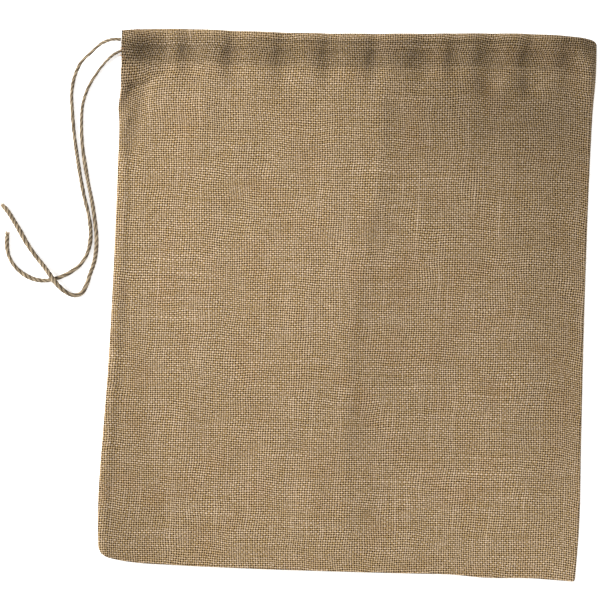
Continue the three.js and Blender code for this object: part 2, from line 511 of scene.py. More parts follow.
def yarn(shader, across, along, index, place, over):
    """How high one set of yarns stands, from -1 between them to 1 on top of a crossing, and its tone.

    across and along are from -0.5 to 0.5 in the crossing's own cell. index numbers the yarns, place runs
    along them, and over is 1 where this yarn passes over the other and -1 under.
    """
    lane = index * LANE
    uneven = shader.noise(lane, place * WIDTH_RATE, detail=1.0)
    slow = shader.noise(lane, place * TONE_RATE, 5.0, detail=1.0)
    sway = shader.noise(lane, place * WANDER_RATE, 9.0, detail=1.0)
    half = shader.between(*HALF_WIDTHS, uneven) + shader.ramp(slow, *SLUB_RANGE) * SLUB_WIDTH
    off = (across - (sway - 0.5) * WANDER) / half
    square = off * off
    round_top = shader.math("SQRT", shader.math("MAXIMUM", 1.0 - square, 0.0))
    wave = over * shader.math("COSINE", along * math.pi)
    inside = shader.math("LESS_THAN", square, 1.0)
    return shader.between(-1.0, (round_top + wave) * 0.5, inside), slow


def jute_cloth():
    """Plain weave from the threads attribute: which yarn up the bag, which one across, and how much painted
    light and shade make it paler or darker.
    """
    shader = Shader("jute_cloth")
    x, y, tone = shader.attribute("threads")
    x = x + (shader.noise(x, y, scale=DRIFT_RATE, detail=1.0) - 0.5) * DRIFT
    y = y + (shader.noise(x, y, 7.0, scale=DRIFT_RATE, detail=1.0) - 0.5) * DRIFT
    column, row = shader.math("FLOOR", x), shader.math("FLOOR", y)
    in_x, in_y = shader.math("FRACT", x) - 0.5, shader.math("FRACT", y) - 0.5
    over = 1.0 - shader.math("FLOORED_MODULO", column + row, 2.0) * 2.0
    up_height, up_slow = yarn(shader, in_x, in_y, column, y, over)
    side_height, side_slow = yarn(shader, in_y, in_x, row + OTHER_SET, x, over * -1.0)
    height = shader.math("MAXIMUM", up_height, side_height)
    up_on_top = shader.math("GREATER_THAN", up_height, side_height)

    fibre_up = shader.noise(x * FIBRE_RATE, y, detail=3.0)
    fibre_side = shader.noise(x, y * FIBRE_RATE, 4.0, detail=3.0)
    fibre = shader.between(fibre_side, fibre_up, up_on_top)
    slow = shader.between(side_slow, up_slow, up_on_top)
    pale = shader.chance(column, row) * CROSSING_SHARE + slow * TONE_SHARE + fibre * FIBRE_SHARE
    # Painted shade: the yarns that run up the bag are darker where they lie on top, for the way the light
    # falls on them
    pale = pale - up_on_top * UP_SET_PAINTED_SHADE
    yarn_colour = shader.colour_between(JUTE_MID, JUTE_PALE, shader.ramp(pale, *PALE_RANGE))
    patch = shader.noise(x, y, 2.0, scale=RUST_RATE, detail=4.0)
    rust = shader.ramp(patch, *RUST_RANGE) * RUST_SHARE
    yarn_colour = shader.colour_between(yarn_colour, JUTE_RUSTY, rust)
    # Painted shade: each yarn's colour darkens down its flanks, and the tint makes that painted shade warmer
    shade = shader.math("POWER", shader.ramp(height, *SHADE_RANGE), SHADE_POWER)
    colour = shader.colour_between(FLANK_PAINTED_SHADE, yarn_colour, shade)
    painted_shade_tint = shader.colour_between(FLANK_PAINTED_SHADE_TINT, WHITE, shade)
    colour = shader.colour_between(colour, painted_shade_tint, 1.0, "MULTIPLY")
    # Painted shade: the holes between the yarns take a near-black colour
    colour = shader.colour_between(colour, HOLE_PAINTED_SHADE, shader.math("LESS_THAN", height, HOLE_HEIGHT))
    # Painted light and shade from the threads attribute darken or lighten the whole colour
    level = tone + 1.0
    colour = shader.colour_between(colour, shader.vector(level, level, level), 1.0, "MULTIPLY")
    shader.relief(shader.math("MAXIMUM", height, HOLE_FLOOR) + fibre * FIBRE_RELIEF, WEAVE_RELIEF)
    return shader.finish(colour, roughness=0.95, specular=0.08)


# How fast the twine's fibres, patches and plies change, and how much each of them makes it paler
TWINE_FIBRE_RATES, TWINE_PATCH_RATE, PLY_RATE = (5.0, 0.45), 0.12, 0.05
TWINE_FIBRE_SHARE, TWINE_PATCH_SHARE, PLY_SHARE = 0.8, 0.9, 0.3
TWINE_PALE_RANGE, GROOVE_RANGE = (0.75, 1.3), (0.25, 0.95)
TWINE_RELIEF, TWINE_RELIEF_STRENGTH = 0.0003, 0.8
# Painted shade: the first colour darkens the grooves between the plies
TWINE_GROOVE_PAINTED_SHADE = (0.022, 0.014, 0.007, 1)
TWINE_MID = (0.140, 0.103, 0.064, 1)
TWINE_PALE = (0.500, 0.400, 0.275, 1)


def jute_twine():
    """Twisted plies from the threads attribute: turns round the cord, length along it, groove depth."""
    shader = Shader("jute_twine")
    turn, along, groove = shader.attribute("threads")
    fibre = shader.noise(turn * TWINE_FIBRE_RATES[0], along * TWINE_FIBRE_RATES[1], detail=3.0)
    patch = shader.noise(along, 0.0, scale=TWINE_PATCH_RATE, detail=4.0)
    ply = shader.noise(shader.math("FLOOR", turn), along * PLY_RATE, scale=3.0)
    pale = fibre * TWINE_FIBRE_SHARE + patch * TWINE_PATCH_SHARE + ply * PLY_SHARE
    colour = shader.colour_between(TWINE_MID, TWINE_PALE, shader.ramp(pale, *TWINE_PALE_RANGE))
    # Painted shade in the grooves between the plies
    colour = shader.colour_between(TWINE_GROOVE_PAINTED_SHADE, colour, shader.ramp(groove, *GROOVE_RANGE))
    shader.relief(fibre, TWINE_RELIEF, TWINE_RELIEF_STRENGTH)
    return shader.finish(colour, roughness=0.85, specular=0.15)


STREAK_SCALE, STREAK_SHADE, STREAK_RANGE = 1800.0, 0.55, (0.3, 0.65)
STREAK_RELIEF, STREAK_RELIEF_STRENGTH = 0.0001, 0.5


def spun_thread(name, colour):
    """Sewing thread and loose fibre: one tone, broken up by fine streaks."""
    shader = Shader(name)
    streak = shader.noise(shader.node("TexCoord", {}, "Object"), scale=STREAK_SCALE)
    dark = tuple(STREAK_SHADE * part for part in colour[:3]) + (1,)
    shade = shader.colour_between(dark, colour, shader.ramp(streak, *STREAK_RANGE))
    shader.relief(streak, STREAK_RELIEF, STREAK_RELIEF_STRENGTH)
    return shader.finish(shade, roughness=0.75)


# ---- the cord

# Where the two free ends run. A place without a height is on the table
TABLE_HEIGHT = 1.45
FRONT_TAIL_ROUTE = [
    (-177.6, 187.6, FRONT_CORD_Z), (-184, 187.3, 12.3), (-190.5, 185.1, 10.9), (-200, 177.6, 7.2),
    (-207.5, 170.5, 3.9), (-212, 161, 2.1), (-214, 149), (-213, 133), (-211, 117), (-208, 100),
    (-205, 85), (-201.5, 70), (-198, 58), (-196, 48), (-195.5, 37), (-198, 26), (-203, 18), (-210, 12.5),
    (-219, 8), (-229, 5.7), (-237, 6.5), (-244, 9.5), (-251, 15), (-256, 22.5), (-258, 31), (-258, 39),
]
BACK_TAIL_ROUTE = [
    (-177.5, 181.0, BACK_CORD_Z), (-184, 177.2, 2.3), (-190, 171.2, 1.8), (-196, 162.8), (-202, 151.5),
    (-205.3, 140), (-205.8, 124.5), (-204.5, 109), (-201.8, 94), (-198.5, 79), (-194.8, 63.5),
    (-192.2, 49), (-191, 40), (-190.8, 31), (-192, 21), (-195, 11), (-197.5, 2.5), (-201, -3),
    (-205, -4.5, 1.6), (-211, -3, 2.7), (-216, 0.7, 4.5), (-220.5, 5.2, 5.3), (-224.5, 10.5, 5.0),
    (-229, 16, 3.7), (-237, 25, 1.7), (-243, 33), (-248.5, 42), (-253.5, 49.5), (-257.5, 55.5),
    (-262, 60.5),
]
CORD_LAY = 15.0
CORD_PLIES = 3
CORD_SIDES = 30
CORD_STEP = 0.8
ROUTE_STEP = 2.0
# How the lay drifts along the cord: turns, wave and phase
LAY_WAVES = ((0.22, 9.0, 0.0), (0.30, 23.0, 1.0))
GROOVE_BOTTOM = 0.76
GROOVE_POWER = 0.55
# A cut end shrinks to CUT_SIZE of its radius over CUT_LENGTH, and its face is as dark as CUT_GROOVE
CUT_LENGTH, CUT_SIZE, CUT_GROOVE = 0.6, 0.55, 0.3

# The run inside the casing: its ends, how far down from the mouth it lies in front and at the back, how
# far it sinks under the front layer, how far it moves up towards the rear exit, and how soon it follows
# the casing's sway. Then how many points its three parts take
CASING_RUN = (-177, 157)
FRONT_RUN_DOWN = 9
BACK_RUN_DOWN = 17
CORD_SINK = 1.2
EXIT_RISE = 1.4
EXIT_REACH = 60
SWAY_REACH = 12
FRONT_POINTS, TURN_POINTS, BACK_POINTS = 130, 13, 24

# How uneven the twine's radius is, and how much of the swell it lacks where it leaves the casing
RADIUS_WAVES, UNEVENNESS, THIN_EXIT = 7, 0.8, 0.9

# A loose fibre's points as shares of its length, how it gets thinner towards its end, and their numbers
FIBRE_SHARES = np.array([0.0, 0.35, 0.7, 1.0])[:, None]
FIBRE_TAPER = np.array([1, 0.9, 0.7, 0.4])
SPLAYED_TAPER = np.array([1, 0.9, 0.7, 0.35])
YARN_END_TAPER = np.array([1, 0.95, 0.8, 0.4])
SPLAYED_FIBRES = 60
FUZZ_FIBRES = 260


def in_casing(along, down, height):
    """A point of the casing, from its distances along the mouth and down from it."""
    flat = np.array([0, CASING_MIDDLE_Y]) + along * CASING_AXIS - down * ACROSS_CASING
    return np.array([flat[0], flat[1], height])


def loop_route():
    """Along the front casing, round the folded side and back along the rear casing."""
    left, right = CASING_RUN
    route = []
    for at in np.linspace(left, right, FRONT_POINTS):
        steady = smooth(at, left, left + SWAY_REACH)
        sway = casing_sway(at * CASING_AXIS[0]) - CORD_SINK
        route.append(in_casing(at, FRONT_RUN_DOWN, FRONT_CORD_Z + sway * steady))
    front_z = route[-1][2]
    middle_z, half_z = (front_z + BACK_CORD_Z) / 2, (front_z - BACK_CORD_Z) / 2
    middle_down, half_down = (BACK_RUN_DOWN + FRONT_RUN_DOWN) / 2, (BACK_RUN_DOWN - FRONT_RUN_DOWN) / 2
    radius = math.hypot(half_down, half_z)
    for angle in np.linspace(0, math.pi, TURN_POINTS)[1:-1]:
        along = right + radius * math.sin(angle)
        down = middle_down - half_down * math.cos(angle)
        route.append(in_casing(along, down, middle_z + half_z * math.cos(angle)))
    for at in np.linspace(right, left, BACK_POINTS):
        rise = EXIT_RISE * (1 - smooth(at, left, left + EXIT_REACH))
        route.append(in_casing(at, BACK_RUN_DOWN - rise, BACK_CORD_Z))
    return route


def twine_piece(name, route, material, thickness, cut_end):
    """A three-ply twine along a route, with the plies' grooves turning round it.

    thickness is a function from the distance along the cord to its radius. A cut end is rounded off.
    """
    path = spaced(route, CORD_STEP)
    along = distances(path)
    angle = np.arange(CORD_SIDES) * 2 * math.pi / CORD_SIDES
    lay_place = along / CORD_LAY
    for turns, wave, phase in LAY_WAVES:
        lay_place = lay_place + turns * np.sin(along / wave + phase)
    turn = angle[None, :] / (2 * math.pi) - lay_place[:, None]
    groove = np.abs(np.cos(turn * CORD_PLIES * math.pi)) ** GROOVE_POWER
    radii = thickness(along)[:, None] * mix(GROOVE_BOTTOM, 1, groove)
    if cut_end:
        radii = radii * np.clip((along[-1] - along) / CUT_LENGTH + CUT_SIZE, 0, 1)[:, None]
    vertices, quads, caps = tube_arrays(path, radii, CORD_SIDES)
    length = np.broadcast_to(along[:, None], turn.shape)
    lay = np.stack([turn * CORD_PLIES, length, groove], axis=2).reshape(-1, 3)
    lay = np.concatenate([lay, [[0, 0, CUT_GROOVE], [0, along[-1], CUT_GROOVE]]])
    triangles = np.concatenate([caps, quads[:, [0, 1, 2]], quads[:, [0, 2, 3]]])
    return new_piece(name, vertices, [triangles], material, lay)


def cord_radius(seed, swell):
    """Twine is uneven: thinner where it leaves the casing and thicker, by the swell, at its cut end."""
    rng = np.random.default_rng(seed)
    parts = [(rng.uniform(9, 60), rng.uniform(0, 6.28), rng.uniform(0.02, 0.05))
             for _ in range(RADIUS_WAVES)]

    def radius(along):
        uneven = sum(size * np.sin(2 * math.pi * along / wave + phase) for wave, phase, size in parts)
        grown = 1 + swell * smooth(along, 40, 260) - swell * THIN_EXIT * (1 - smooth(along, 0, 90))
        return CORD_RADIUS * grown * (1 + uneven * UNEVENNESS)

    return radius


def hair(rng, base, direction, length, curl):
    """A short curved fibre from a base point, as four points."""
    direction = unit(np.array(direction, float))
    bend = unit(rng.normal(size=3)) * curl
    return np.array(base) + length * (direction * FIBRE_SHARES + bend * FIBRE_SHARES**2)


def cut_end(rng, path, radius):
    """The splayed fibres of a cord's cut end."""
    fibres = Threads()
    tip, ahead = path[-1], unit(path[-1] - path[-4])
    for _ in range(SPLAYED_FIBRES):
        around = rng.normal(size=3)
        around -= ahead * around.dot(ahead)
        start = tip - ahead * rng.uniform(0.2, 1.6) + unit(around) * radius * rng.uniform(0.1, 0.85)
        direction = ahead + 0.45 * unit(around) * rng.uniform(0, 1)
        strand = hair(rng, start, direction, rng.uniform(1.6, 4.2), 0.25)
        strand[:, 2] = np.maximum(strand[:, 2], 0.15)
        fibres.add(strand, rng.uniform(0.07, 0.15) * SPLAYED_TAPER, 4)
    return fibres


def cord_fuzz(rng, path, radius):
    """Fibres that stand away from a cord along its length."""
    fibres = Threads()
    for _ in range(FUZZ_FIBRES):
        i = rng.integers(2, len(path) - 2)
        along = unit(path[i + 1] - path[i - 1])
        out = rng.normal(size=3)
        out = unit(out - along * out.dot(along))
        base = path[i] + out * radius * 0.8
        strand = hair(rng, base, out + along * rng.uniform(-1.6, 1.6), rng.uniform(0.8, 2.4), 0.5)
        strand[:, 2] = np.maximum(strand[:, 2], 0.1)
        fibres.add(strand, 0.045 * FIBRE_TAPER, 3)
    return fibres


def add_cords(material, fibre_material):
    """The two free ends, each with its fuzz and its splayed cut end, and the run inside the casing."""
    for name, route, seed, swell in (
        ("front", FRONT_TAIL_ROUTE, 3, 0.16),
        ("back", BACK_TAIL_ROUTE, 5, 0.30),
    ):
        rng = np.random.default_rng(seed)
        path = rounded_route([(*place, TABLE_HEIGHT)[:3] for place in route], ROUTE_STEP)
        along = distances(path)
        thickness = cord_radius(seed, swell)
        path[:, 2] = np.maximum(path[:, 2], thickness(along))
        tail = twine_piece(f"{name}_tail_twine", path, material, thickness, True)
        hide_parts(f"drawstring_{name}_tail")
        end = cut_end(rng, path, CORD_RADIUS * (1 + swell)).piece(f"{name}_tail_cut_end", fibre_material)
        fuzz = cord_fuzz(rng, path, CORD_RADIUS).piece(f"{name}_tail_fuzz", fibre_material)
        for piece in (tail, end, fuzz):
            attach(piece, "drawstring")
    loop = twine_piece("casing_twine", rounded_route(loop_route(), ROUTE_STEP), material,
                       cord_radius(11, 0.0), False)
    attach(loop, "drawstring")
    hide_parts("drawstring_casing_loop")


# ---- the bag's outline and relief

LEFT_EDGE = spline([
    (-204, -179.7), (-185, -181.0), (-165, -181.6), (-140, -181.3), (-110, -180.2), (-64, -178.5),
    (0, -177.4), (100, -177.2), (133, -177.5), (145, -178.5), (157, -177.3), (197, -177.3),
])
RIGHT_EDGE = spline([
    (-204, 178.9), (-165, 180.3), (-100, 179.2), (0, 177.6), (140, 177.5), (185, 178.4), (205, 178.0),
])
BOTTOM_EDGE = spline([
    (-180, -199.3), (-172, -200.6), (-164, -202.0), (-151, -203.3), (-125, -203.9), (-60, -204.3),
    (0, -203.8), (60, -202.9), (85, -202.5), (110, -203.8), (146, -202.9), (167, -203.6), (180, -204.2),
])
MOUTH_EDGE = spline([
    (-178, 194.5), (-168, 195.5), (-150, 196.8), (-126, 197.6), (-95, 197.6), (-50, 198.0), (0, 199.2),
    (60, 201.8), (105, 203.7), (132, 204.3), (147, 204.1), (158, 203.7), (167, 202.9), (174, 201.6),
    (178, 200.4),
])

# The corners to round off: place, the two directions in from it, and radius
CORNERS = (
    (-HALF_WIDTH + 0.9, BOTTOM_Y + 4.8, 1, 1, 8),
    (HALF_WIDTH - 2.6, MOUTH_Y - 3.4, -1, -1, 3.5),
    (HALF_WIDTH - 1.6, BOTTOM_Y + 0.8, -1, 1, 2.5),
)

# How wide the cloth turns at the seams, at the casing's open end, at the fold, at the casing's closed end
# and over the mouth
SEAM_ROLL = 0.9
OPEN_END_ROLL = 0.25
FOLD_ROLL = 1.5
CASING_ROLL = 5.5
LIP_ROLL = 1.9

# Height of the front layer at a distance down from the mouth
HEM_PROFILE = spline([
    (0, 13.7), (2.5, 14.3), (5, 14.45), (9, 14.6), (11, 14.45), (14, 13.3), (18, 12.7), (22, 12.3),
    (25, 12.0), (29, 11.6), (36, 10.9), (50, 9.3),
])

# Heights of the front layer, and how far in from the left, the right and the bottom it rises
SEAM_HEIGHT = 1.95
NEAR_SEAM_HEIGHT = 3.7
FIELD_HEIGHT = 8.4
LOWEST_INSIDE = 3.5
CASING_END_HEIGHT = 11.0
RISE_START = -12
RISE_LEFT, RISE_RIGHT, RISE_BELOW = 70, 62, 75
BROAD_HEIGHT = 0.9
FINE_HEIGHT = 0.22
SEAM_RIDGE, SEAM_GROOVE = 0.5, 0.35
STITCH_DOWN = 25.0

# The front layer stays this far over the cord's middle, less so beside it, and over its own hem
CORD_COVER = 1.85
CORD_COVER_FALL = 0.13
FACE_GAP = 0.05
HEM_COVER_FALL = 3.0

# The back layer lies on the table, and its small waves and gathers lift it
BACK_LIFT = 0.3
BACK_GATHERS = 0.15

# Gathers along the casing: place, depth, width to the left and to the right, and how far they reach
# below the stitches
GATHERS = [
    (-146, 1.25, 15, 6, 12), (-127, 0.8, 6, 9, 9), (-94, 0.95, 5, 8, 9), (-56, 0.9, 6, 10, 10),
    (-22, 0.9, 5.5, 8, 9), (12, 0.7, 4.5, 6, 9), (49, 1.1, 8, 8, 9), (71, 0.5, 5, 7, 8),
    (98.5, 1.3, 7.5, 7, 30), (129, 1.25, 6, 9, 30), (157.5, 0.6, 6, 8, 12),
]
SWAY_DEPTH = 2.2
SWAY_LIMIT = 0.9
SWAY_SPREAD = (1.15, 1.3)
VALLEY_DEPTH = 3.4

# The long slack fold down the middle of the bag: height and place. The puckers along the side seam: place
# and depth
BROAD_FOLD, SHARP_FOLD = 1.6, 0.4
MIDDLE_FOLD = spline([(-200, 5), (-53, 3), (38, 11), (98, 19.5), (181, 17.5), (205, 17)])
PUCKERS = [(118, 0.75), (60, 0.6), (-1, 1.35), (-34, 1.2), (-64, 1.2), (-98, 1.2), (-135, 1.35),
           (-184, 1.05)]
PUCKER_SLANT = 0.35

# The crease just below the mouth: how deep it is, how dark its painted shade is, where it starts, and how it
# fades
MOUTH_CREASE_DEPTH = 0.55
MOUTH_CREASE_PAINTED_SHADE = 0.24
MOUTH_CREASE_START = (-115, -60)
MOUTH_CREASE_FADE = 35

# Painted shade: how much darker the cloth's colour is made where more layers lie under it, whose shade
# shows through the open weave: at the hem, at the casing's left and right halves and near the side seam.
# A painted highlight makes the seam's own edge paler, where it turns to the light
HEM_SHADE = 0.11
CASING_SHADES = (0.2, 0.08)
SEAM_SHADE = 0.09
SEAM_EDGE_PAINTED_HIGHLIGHT = 0.16

# Patches of painted light and shade, where the cloth's colour is made paler or darker for the way the light
# falls across the bag and for the shade at the casing's open end: x and y of the middle, half width, half
# height and change
PAINTED_LIGHT_PATCHES = [
    (185, 165, 105, 130, -0.15), (95, 150, 85, 42, -0.20), (160, -190, 105, 120, 0.17),
    (-185, -150, 50, 150, -0.11), (-75, 45, 85, 140, 0.14), (-40, -190, 90, 70, 0.08),
    (-162, 179, 12, 16, -0.24), (-172, 152, 7, 14, -0.22), (-162, 132, 6, 26, -0.08),
    (170, 184, 8, 8, 0.16), (162, 200, 14, 5, -0.20),
]


def waves(seed, count, shortest, longest):
    """A smooth uneven surface: the mean of several long waves in seeded directions."""
    rng = np.random.default_rng(seed)
    turn = 2 * math.pi
    parts = [(rng.uniform(0, turn), rng.uniform(shortest, longest), rng.uniform(0, turn))
             for _ in range(count)]

    def height(x, y):
        total = 0
        for direction, length, phase in parts:
            along = x * (math.cos(direction) / length) + y * (math.sin(direction) / length)
            total = total + np.sin(turn * along + phase)
        return total / math.sqrt(count)

    return height


BROAD = waves(SEED, count=7, shortest=110, longest=260)
FINE = waves(SEED + 1, count=9, shortest=26, longest=60)


def casing_sway(x):
    """How far the whole casing, with the cord in it, dips at each gather."""
    return -SWAY_DEPTH * sum(
        min(depth, SWAY_LIMIT) * bump(x, place, before * SWAY_SPREAD[0], after * SWAY_SPREAD[1])
        for place, depth, before, after, _ in GATHERS
    )


def valleys(x, down):
    """How far the front cloth sinks between the cord's ridge and the stitches at each gather."""
    total = np.zeros_like(x)
    for place, depth, before, after, reach in GATHERS:
        window = smooth(down, 2, 15) * (1 - smooth(down, STITCH_DOWN, STITCH_DOWN + reach))
        spread = mix(0.8, 1.15, smooth(down, 5, 24))
        total += depth * window * bump(x, place, before * spread, after * spread)
    return total * VALLEY_DEPTH


def corner_fold(x, y, down):
    """The two slack folds that run down and out from the open end of the casing to the side seam."""
    middle = -152 - 0.5 * (down - 14)
    window = smooth(down, 12, 26) * (1 - smooth(down, 46, 72))
    bulge = bump(x, -172, 9) * bump(y, 142, 16)
    second = smooth(y, 88, 116) * (1 - smooth(y, 164, 180)) * bump(x, -158 - 0.17 * (167 - y), 4.5, 6)
    return 3.6 * window * bump(x, middle, 5.5, 8) + 1.7 * second - 1.1 * bulge


def mouth_crease(x, end):
    """Where the crease below the mouth shows, from 0 to 1. It fades out past this end."""
    return smooth(x, *MOUTH_CREASE_START) * (1 - smooth(x, end, end + MOUTH_CREASE_FADE))


def body_height(x, y, left, right, below, down):
    """The bag below its casing: low at its edges, with broad waves, one long fold and the seam's puckers."""
    rise = smooth(left, RISE_START, RISE_LEFT) * smooth(right, RISE_START, RISE_RIGHT)
    rise = rise * smooth(below, RISE_START, RISE_BELOW)
    height = mix(NEAR_SEAM_HEIGHT, FIELD_HEIGHT, rise)
    height += BROAD(x, y) * BROAD_HEIGHT * rise + FINE(x, y) * FINE_HEIGHT * rise
    off = x - MIDDLE_FOLD(y)
    fold = BROAD_FOLD * bump(off, -3, 42, 17) + SHARP_FOLD * bump(off, 0, 8, 4)
    height += fold * smooth(below, 0, 60)
    along_seam = SEAM_RIDGE * bump(left, 4.5, 3.2) - SEAM_GROOVE * bump(left, 11, 4)
    height += along_seam * smooth(down, 40, 70)
    for place, depth in PUCKERS:
        height -= depth * bump(y + PUCKER_SLANT * left, place, 5.0) * bump(left, 8, 8)
    return height


def front_height(x, y, left, right, below, down):
    """The middle of the front layer away from its rolled edges, in millimetres above the table."""
    sway = casing_sway(x)
    at_fold = smooth(right, 14, 2)
    crease = MOUTH_CREASE_DEPTH * bump(down, 6.8, 1.6) * mouth_crease(x, 120)
    casing = mix(HEM_PROFILE(down) - crease, CASING_END_HEIGHT, at_fold) + BROAD(x, y) * 0.3 + sway
    height = mix(body_height(x, y, left, right, below, down), casing, 1 - smooth(down, 24, 54))
    height = height - valleys(x, down) - corner_fold(x, y, down)
    over_cord = FRONT_CORD_Z + CORD_COVER - CORD_COVER_FALL * (down - FRONT_RUN_DOWN) ** 2
    height = smooth_max(height, mix(0, over_cord + sway, 1 - at_fold), 0.9)
    over_lining = FRONT_LINING_Z + CLOTH + FACE_GAP + sway - HEM_COVER_FALL * smooth(down, 27, 38)
    height = smooth_max(height, mix(0, over_lining, (1 - at_fold) * smooth(down, 44, 36)), 0.6)
    return np.maximum(height, LOWEST_INSIDE)


def front_painted_light_and_tone(x, y, left, down):
    """How much the front's colour is painted paler, or darker if negative, there: painted shade at the hem,
    the casing, the side seam and the crease below the mouth, a painted highlight along the seam's edge,
    and patches of painted light and shade.
    """
    casing = smooth(down, 2, 10) * (1 - smooth(down, 19, 29))
    tone = -HEM_SHADE * (1 - smooth(down, 22, 30)) - mix(*CASING_SHADES, smooth(x, 0, 120)) * casing
    tone -= SEAM_SHADE * (1 - smooth(left, 8, 75))
    # Painted shade along the crease below the mouth
    tone -= MOUTH_CREASE_PAINTED_SHADE * bump(down, 6.2, 1.0) * mouth_crease(x, 100)
    tone += SEAM_EDGE_PAINTED_HIGHLIGHT * (1 - smooth(left, 1, 9)) * smooth(down, 60, 100)
    for place, height, wide, high, change in PAINTED_LIGHT_PATCHES:
        tone += change * bump(x, place, wide) * bump(y, height, high)
    return tone


def graded(start, end, step):
    """Even places from start to end, about a step apart."""
    return np.linspace(start, end, max(2, round((end - start) / step) + 1))


# The grid of a layer: angles round its rolls and over the mouth, and shares of the way between them
ROLL = np.linspace(0, math.pi / 2, 7)
LIP = np.linspace(0, math.pi, 12)[1:]
TURNS = len(ROLL) - 1
BOTTOM_SHARES = np.array([0, 0.003, 0.006, 0.0095, 0.0135, 0.018])
SIDE_SHARES = np.concatenate([BOTTOM_SHARES, [0.023, 0.0285, 0.0345]])
COLUMNS_BETWEEN = 190
# Where on the way up the side seam stops, and where the fold's narrow roll becomes the casing's
SEAM_STOPS = (0.865, 0.935)
CASING_STARTS = (0.80, 0.95)


def columns():
    """Angles of the rolls at both sides, and the share of the way across between them."""
    middle = np.linspace(0.0405, 0.9595, COLUMNS_BETWEEN)
    share = np.concatenate([SIDE_SHARES, middle, 1 - SIDE_SHARES[::-1]])
    left = np.pad(ROLL, (0, len(share) + TURNS - 1), "edge")
    return left, left[::-1], np.pad(share, TURNS, "edge")


def rows():
    """Angle of the bottom roll, share of the way up, and angle over the mouth edge."""
    share = np.concatenate([BOTTOM_SHARES, graded(0.024, 0.86, 0.0058), graded(0.8625, 1.0, 0.0027)])
    bottom = np.pad(ROLL, (0, len(share) + len(LIP) - 1), "edge")
    over = np.pad(LIP, (TURNS + len(share), 0))
    return bottom, np.pad(share, (TURNS, len(LIP)), "edge"), over


def round_corner(x, y, corner_x, corner_y, towards_x, towards_y, radius):
    """Draws a grid's square corner in to a quarter circle."""
    a = np.clip(1 - (x - corner_x) * towards_x / radius, 0, None)
    b = np.clip(1 - (y - corner_y) * towards_y / radius, 0, None)
    near = (a > 0) & (b > 0)
    new_a = a * np.sqrt(1 - np.clip(b, 0, 1) ** 2 / 2)
    new_b = b * np.sqrt(1 - np.clip(a, 0, 1) ** 2 / 2)
    return (
        np.where(near, corner_x + towards_x * radius * (1 - new_a), x),
        np.where(near, corner_y + towards_y * radius * (1 - new_b), y),
    )


def layer_points(front):
    """The middle points of one layer of cloth, from seam to fold and from the bottom over the mouth,
    and how much painted light and shade make its colour paler or darker there."""
    left_angle, right_angle, across = columns()
    bottom_angle, up, over = (row[:, None] for row in rows())
    low = BOTTOM_Y + CLOTH / 2
    rough_y = mix(low, MOUTH_Y - 4, up)
    hem = smooth(up, *SEAM_STOPS)
    left_roll = mix(SEAM_ROLL, OPEN_END_ROLL, hem)
    right_roll = mix(FOLD_ROLL, CASING_ROLL, smooth(up, *CASING_STARTS))
    left_side = LEFT_EDGE(rough_y) + CLOTH / 2
    right_side = RIGHT_EDGE(rough_y) - CLOTH / 2
    inner_left, inner_right = left_side + left_roll, right_side - right_roll
    x = mix(inner_left, inner_right, across) - left_roll * np.cos(left_angle)
    x = x + right_roll * np.cos(right_angle)
    bottom = BOTTOM_EDGE(x) + CLOTH / 2
    mouth = MOUTH_EDGE(x) - CLOTH / 2
    y = mix(bottom + SEAM_ROLL, mouth - LIP_ROLL, up) - SEAM_ROLL * np.cos(bottom_angle)
    y = y + LIP_ROLL * np.sin(over)

    left, right = x - left_side, right_side - x
    below, down = y - bottom, mouth - y
    down = np.where(over > 0, LIP_ROLL, down)
    if front:
        outer = front_height(x, y, left, right, below, down)
        lining = FRONT_LINING_Z + casing_sway(x)
    else:
        outer = back_height(x, y, down)
        lining = BACK_LINING_Z
    fold_height = 0.5 * (front_height(x, y, left, right, below, down) + CLOTH / 2)
    middle = mix(SEAM_HEIGHT, fold_height, smooth(across, 0.4, 0.6))
    sewn_left = mix(np.sin(left_angle), 1, hem)
    rise = sewn_left * np.sin(right_angle) * np.sin(bottom_angle)
    z = mix(middle, outer, rise)
    turned = mix(middle, lining, rise)
    z = np.where(over > 0, mix(z, turned, (1 - np.cos(over)) / 2), z)
    # Painted light and shade, which the weave's colour is multiplied by; the back layer takes the front's
    tone = front_painted_light_and_tone(x, y, left, down)
    for corner in CORNERS:
        x, y = round_corner(x, y, *corner)
    return np.stack([x, y, z], axis=2), tone


def back_height(x, y, down):
    """The middle of the back layer: on the table, lifted a little by the gathers and by its waves."""
    lift = BACK_LIFT * (1 + np.clip(FINE(x + 40, y), -1, 1))
    gathers = BACK_GATHERS * valleys(8 - x, down) * (1 - smooth(down, 10, 16))
    return CLOTH / 2 + FACE_GAP + lift + gathers


HEM_ENDS = (-175.5, 155.5)
HEM_DEPTH = 28
# Painted shade: the turned-in hems and the seams' raw edges lie inside the bag, and their colour is made
# darker
HEM_PAINTED_SHADE = -0.1
BACK_HEM_FOOT = CLOTH * 1.5 + 0.95
HEM_WAVES = {"front": 0.1, "back": 0.12}


def lining_points(front):
    """The turned-in hem: from under the mouth edge down past the stitches."""
    along = graded(*HEM_ENDS, 2.0)
    down = np.concatenate([graded(LIP_ROLL + 0.3, 20, 1.7), graded(21, HEM_DEPTH, 1.2)])
    along, down = np.meshgrid(along, down)
    x = along * CASING_AXIS[0] - down * ACROSS_CASING[0]
    y = MOUTH_EDGE(x) - down
    if front:
        sunk = CORD_SINK * smooth(down, 3, 6) * (1 - smooth(down, 13, 20))
        wave = HEM_WAVES["front"] * FINE(x, y) * smooth(down, 3, 9)
        z = FRONT_LINING_Z + casing_sway(x) - sunk + wave
    else:
        z = mix(BACK_LINING_Z, BACK_HEM_FOOT, smooth(down, 19.3, 23)) + HEM_WAVES["back"] * FINE(x, y)
    return np.stack([x, y, z], axis=2)


